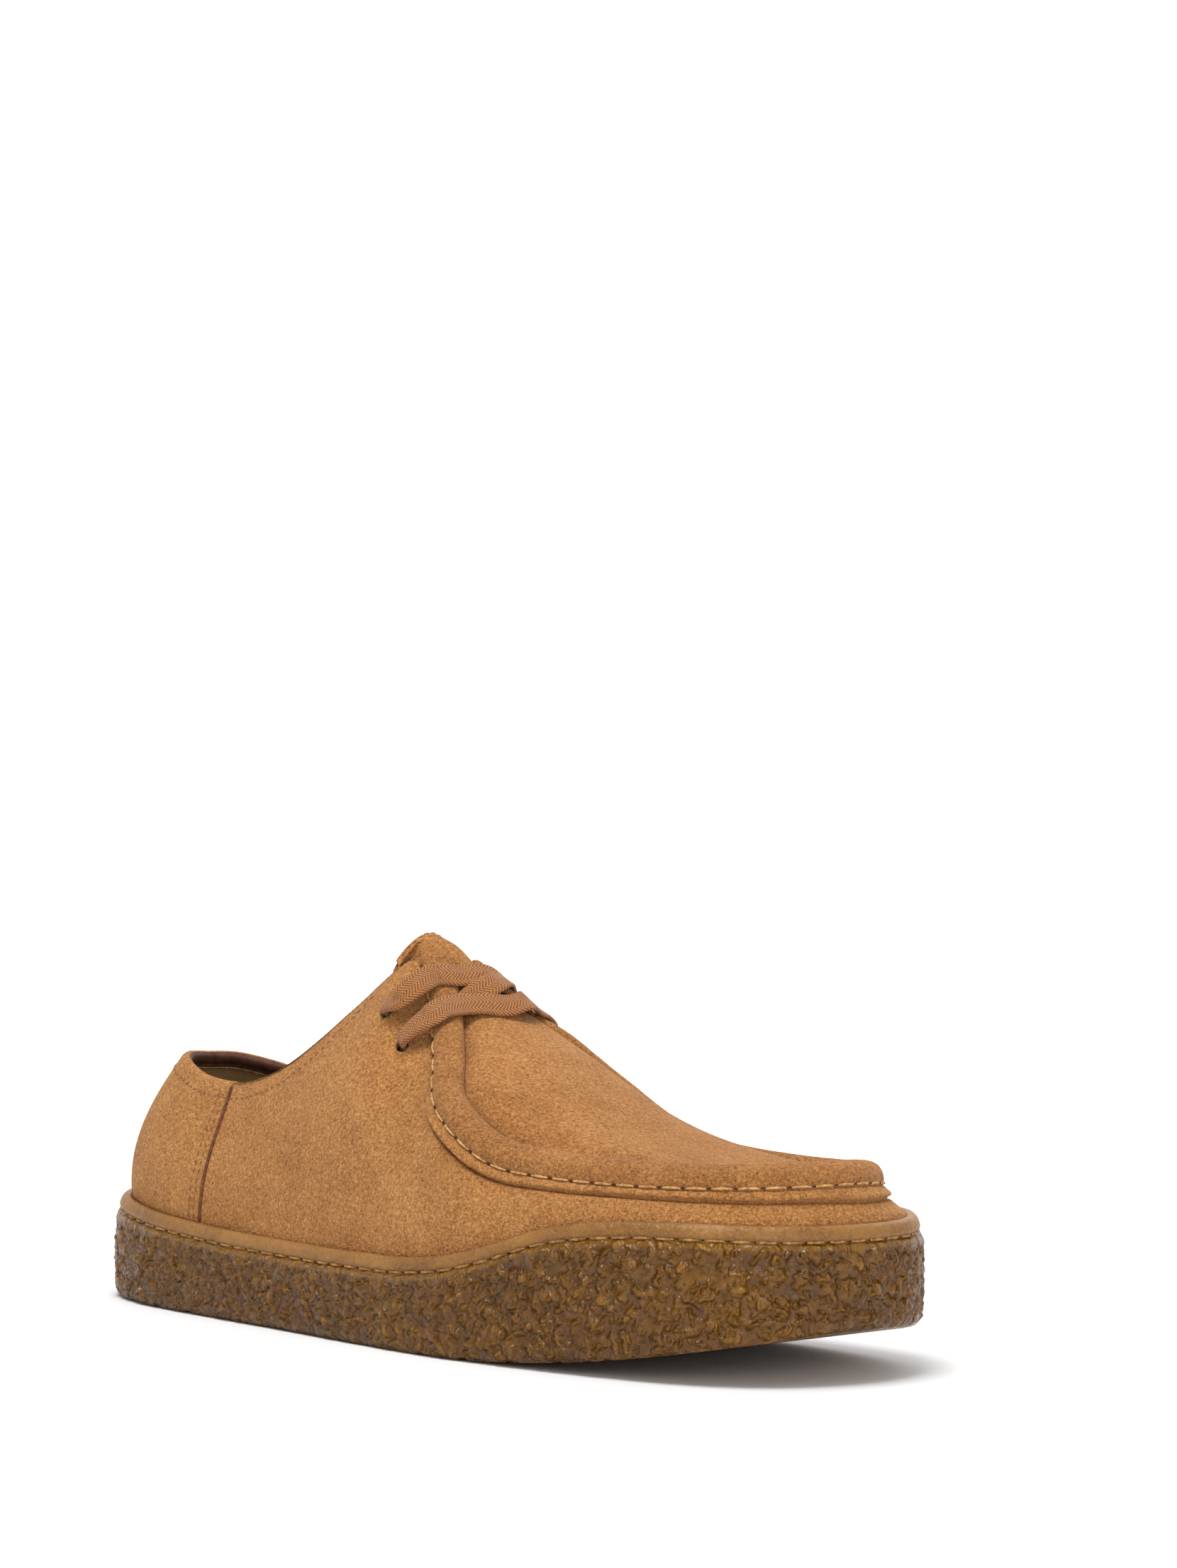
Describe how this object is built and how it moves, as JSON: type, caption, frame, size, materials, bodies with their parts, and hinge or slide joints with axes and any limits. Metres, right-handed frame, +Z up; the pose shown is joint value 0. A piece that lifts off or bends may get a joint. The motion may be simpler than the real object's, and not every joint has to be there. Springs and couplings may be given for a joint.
{
  "type": "moccasin shoe",
  "caption": "Low lace-up suede shoe with a raised moccasin seam round plug and throat, a heel panel, an open collar and a thick crepe cup sole.",
  "frame": {"origin": "on the floor plane, under the middle of the bounding box", "axes": "+X from heel to toe, +Y to the inner side of the foot, +Z up"},
  "size_m": [0.3, 0.1086, 0.1162],
  "materials": {
    "crepe": "semi-gloss, crinkled",
    "lining": "matt textile",
    "suede": "matt nap",
    "plug_suede": "matt nap",
    "lace": "matt weave"
  },
  "bodies": {
    "root": {"sole": "crepe", "insole": "lining", "upper": "suede", "heel_counter": "suede", "apron_tongue": "plug_suede", "moccasin_roll": "suede", "laces": "lace"}
  },
  "joints": []
}
